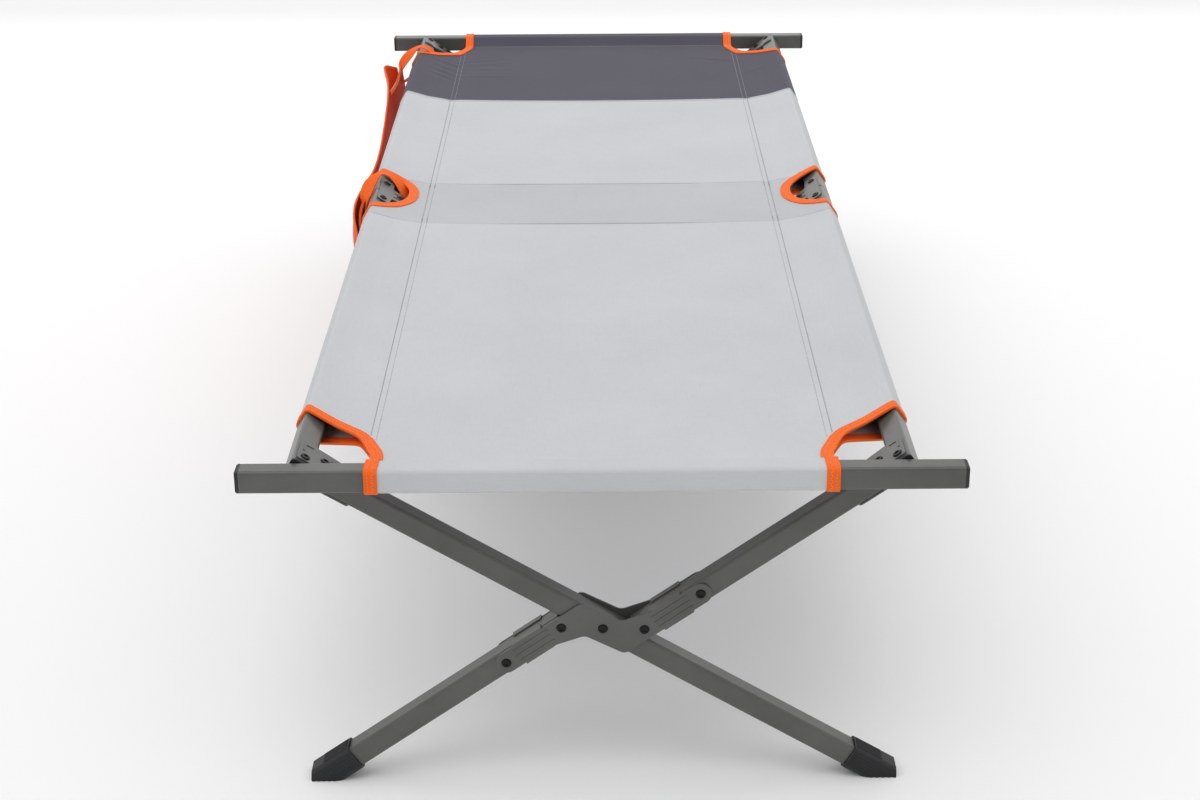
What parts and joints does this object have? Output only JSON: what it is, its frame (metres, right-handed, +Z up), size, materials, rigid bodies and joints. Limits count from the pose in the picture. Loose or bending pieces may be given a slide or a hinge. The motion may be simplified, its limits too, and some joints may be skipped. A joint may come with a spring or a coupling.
{
  "type": "folding cot",
  "caption": "Folding camp cot: crossed leg frames and side rails carry a sewn cloth deck between lift-off end bars, with a long side pouch.",
  "frame": {"origin": "on the floor, under the middle of the deck", "axes": "+X to the right seen from the foot end, +Y towards the head end, +Z up"},
  "size_m": [0.76, 1.9802, 0.403],
  "materials": {
    "grey_frame": "satin powder coat",
    "black_plastic": "fine moulded texture",
    "black_rivet": "black, satin",
    "grey_cloth": "coated plain weave, matt",
    "band_cloth": "coated plain weave, slight sheen",
    "orange_tape": "woven binding tape",
    "orange_cloth": "coated plain weave"
  },
  "bodies": {
    "z_frame": {"right_rail_foot": "grey_frame", "right_rail_head": "grey_frame", "right_rail_plugs": "black_plastic", "z_leg_lower_foot": "grey_frame", "z_leg_lower_middle": "grey_frame", "z_leg_lower_head": "grey_frame", "z_leg_upper_foot": "grey_frame", "z_leg_upper_middle": "grey_frame", "z_leg_upper_head": "grey_frame", "pivot_plate_foot_front": "grey_frame", "pivot_plate_foot_back": "grey_frame", "pivot_plate_middle_front": "grey_frame", "pivot_plate_middle_back": "grey_frame", "pivot_plate_head_front": "grey_frame", "pivot_plate_head_back": "grey_frame", "pivot_rivets": "black_rivet", "plate_rivets_foot": "black_rivet", "plate_rivets_middle": "black_rivet", "plate_rivets_head": "black_rivet", "right_gusset_foot_top": "grey_frame", "right_gusset_foot_bottom": "grey_frame", "right_gusset_head_top": "grey_frame", "right_gusset_head_bottom": "grey_frame", "right_middle_bracket_top": "grey_frame", "right_middle_bracket_bottom": "grey_frame", "right_gusset_rivets": "black_rivet", "right_bracket_rivets": "black_rivet", "left_feet": "black_plastic", "deck": "grey_cloth", "head_band_cloth": "band_cloth", "edge_bindings": "orange_tape"},
    "straight_frame": {"left_rail_foot": "grey_frame", "left_rail_head": "grey_frame", "left_rail_plugs": "black_plastic", "left_gusset_foot_top": "grey_frame", "left_gusset_foot_bottom": "grey_frame", "left_gusset_head_top": "grey_frame", "left_gusset_head_bottom": "grey_frame", "left_middle_bracket_top": "grey_frame", "left_middle_bracket_bottom": "grey_frame", "left_gusset_rivets": "black_rivet", "left_bracket_rivets": "black_rivet", "straight_leg_foot": "grey_frame", "straight_leg_middle": "grey_frame", "straight_leg_head": "grey_frame", "right_feet": "black_plastic", "pouch": "orange_cloth", "pouch_straps": "orange_cloth"},
    "foot_bar": {"foot_bar": "grey_frame", "foot_bar_caps": "black_plastic"},
    "head_bar": {"head_bar": "grey_frame", "head_bar_caps": "black_plastic"}
  },
  "joints": [
    {"name": "fold", "type": "hinge", "parent": "z_frame", "child": "straight_frame", "pos_m": [0, 0, 0.19], "axis": [0, 1, 0], "range_deg": [0, 110], "deforming": ["deck", "head_band_cloth", "edge_bindings"]},
    {"name": "foot_bar_slide", "type": "slide", "parent": "z_frame", "child": "foot_bar", "axis": [0, -1, 0], "range_m": [0, 0.31]},
    {"name": "head_bar_slide", "type": "slide", "parent": "z_frame", "child": "head_bar", "axis": [0, 1, 0], "range_m": [0, 0.31]}
  ],
  "couplings": [
    {"joint": "foot_bar_slide", "follows": "fold", "m_per_rad": 0.16},
    {"joint": "head_bar_slide", "follows": "fold", "m_per_rad": 0.16}
  ]
}
